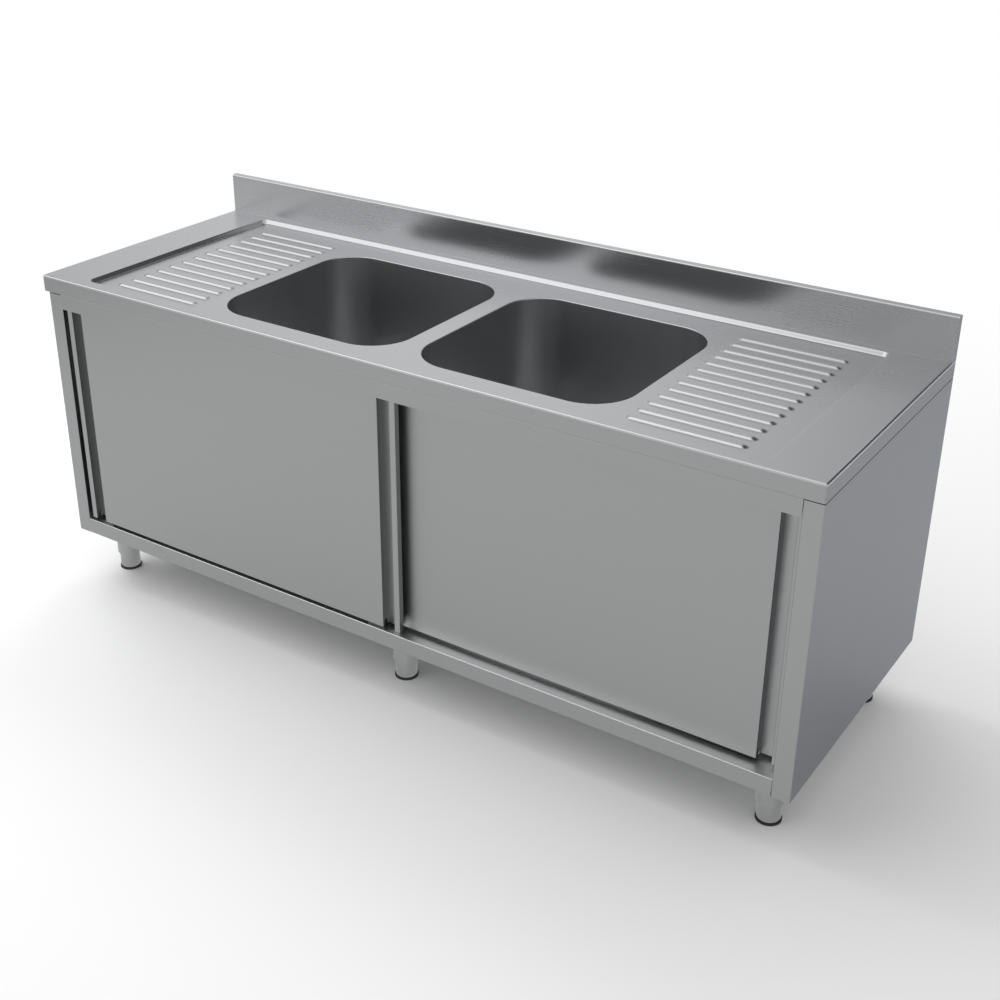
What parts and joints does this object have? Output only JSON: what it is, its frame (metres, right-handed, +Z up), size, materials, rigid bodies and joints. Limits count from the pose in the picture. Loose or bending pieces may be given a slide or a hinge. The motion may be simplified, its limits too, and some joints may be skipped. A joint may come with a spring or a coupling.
{
  "type": "kitchen sink unit",
  "caption": "Stainless steel kitchen sink unit with pressed bowls, ribbed drainers, an upstand, a cabinet with sliding doors and adjustable feet.",
  "frame": {"origin": "on the floor, under the middle of the worktop", "axes": "+X to the right along the worktop, +Y to the rear, +Z up"},
  "size_m": [2, 0.7, 0.92],
  "materials": {
    "worktop_steel": "satin",
    "bowl_steel": "satin",
    "cabinet_steel": "satin",
    "door_steel": "satin",
    "foot_steel": "satin",
    "galvanised_steel": "matte",
    "aluminium": "satin",
    "chrome": "polished",
    "black_plastic": "matte",
    "white_plastic": "satin"
  },
  "bodies": {
    "cabinet": {"back_panel": "cabinet_steel", "bottom_guide": "black_plastic", "bottom_rail": "cabinet_steel", "bottom_shelf": "cabinet_steel", "bowl_left": "bowl_steel", "bowl_right": "bowl_steel", "foot_channel_left": "galvanised_steel", "foot_channel_middle": "galvanised_steel", "foot_channel_right": "galvanised_steel", "foot_sockets": "foot_steel", "side_left": "cabinet_steel", "side_right": "cabinet_steel", "top_rail": "cabinet_steel", "track_front": "aluminium", "track_rear": "aluminium", "waste_bodies": "chrome", "waste_nuts": "black_plastic", "waste_strainers": "chrome", "worktop": "worktop_steel", "worktop_stiffener_left": "galvanised_steel", "worktop_stiffener_right": "galvanised_steel"},
    "door_left": {"door_left_skin": "door_steel", "door_left_pan": "door_steel", "door_left_hangers": "galvanised_steel"},
    "door_right": {"door_right_skin": "door_steel", "door_right_pan": "door_steel", "door_right_hangers": "galvanised_steel"},
    "door_left_roller_1": {"door_left_roller_1": "white_plastic"},
    "door_left_roller_2": {"door_left_roller_2": "white_plastic"},
    "door_right_roller_1": {"door_right_roller_1": "white_plastic"},
    "door_right_roller_2": {"door_right_roller_2": "white_plastic"},
    "foot_front_left": {"foot_leg_front_left": "foot_steel"},
    "foot_rear_left": {"foot_leg_rear_left": "foot_steel"},
    "foot_front_middle": {"foot_leg_front_middle": "foot_steel"},
    "foot_rear_middle": {"foot_leg_rear_middle": "foot_steel"},
    "foot_front_right": {"foot_leg_front_right": "foot_steel"},
    "foot_rear_right": {"foot_leg_rear_right": "foot_steel"}
  },
  "joints": [
    {"name": "slide_door_left", "type": "slide", "parent": "cabinet", "child": "door_left", "axis": [1, 0, 0], "range_m": [0, 0.895]},
    {"name": "slide_door_right", "type": "slide", "parent": "cabinet", "child": "door_right", "axis": [-1, 0, 0], "range_m": [0, 0.895]},
    {"name": "turn_door_left_roller_1", "type": "hinge", "parent": "door_left", "child": "door_left_roller_1", "pos_m": [-0.81, -0.3355, 0.7638], "axis": [0, 1, 0], "range_deg": [0, 5760]},
    {"name": "turn_door_left_roller_2", "type": "hinge", "parent": "door_left", "child": "door_left_roller_2", "pos_m": [-0.06, -0.3355, 0.7638], "axis": [0, 1, 0], "range_deg": [0, 5760]},
    {"name": "turn_door_right_roller_1", "type": "hinge", "parent": "door_right", "child": "door_right_roller_1", "pos_m": [0.087, -0.3055, 0.7638], "axis": [0, -1, 0], "range_deg": [0, 5760]},
    {"name": "turn_door_right_roller_2", "type": "hinge", "parent": "door_right", "child": "door_right_roller_2", "pos_m": [0.837, -0.3055, 0.7638], "axis": [0, -1, 0], "range_deg": [0, 5760]},
    {"name": "level_foot_front_left", "type": "slide", "parent": "cabinet", "child": "foot_front_left", "axis": [0, 0, -1], "range_m": [0, 0.045]},
    {"name": "level_foot_rear_left", "type": "slide", "parent": "cabinet", "child": "foot_rear_left", "axis": [0, 0, -1], "range_m": [0, 0.045]},
    {"name": "level_foot_front_middle", "type": "slide", "parent": "cabinet", "child": "foot_front_middle", "axis": [0, 0, -1], "range_m": [0, 0.045]},
    {"name": "level_foot_rear_middle", "type": "slide", "parent": "cabinet", "child": "foot_rear_middle", "axis": [0, 0, -1], "range_m": [0, 0.045]},
    {"name": "level_foot_front_right", "type": "slide", "parent": "cabinet", "child": "foot_front_right", "axis": [0, 0, -1], "range_m": [0, 0.045]},
    {"name": "level_foot_rear_right", "type": "slide", "parent": "cabinet", "child": "foot_rear_right", "axis": [0, 0, -1], "range_m": [0, 0.045]}
  ],
  "couplings": [
    {"joint": "turn_door_left_roller_1", "follows": "slide_door_left", "rad_per_m": 111.11},
    {"joint": "turn_door_left_roller_2", "follows": "slide_door_left", "rad_per_m": 111.11},
    {"joint": "turn_door_right_roller_1", "follows": "slide_door_right", "rad_per_m": 111.11},
    {"joint": "turn_door_right_roller_2", "follows": "slide_door_right", "rad_per_m": 111.11}
  ]
}
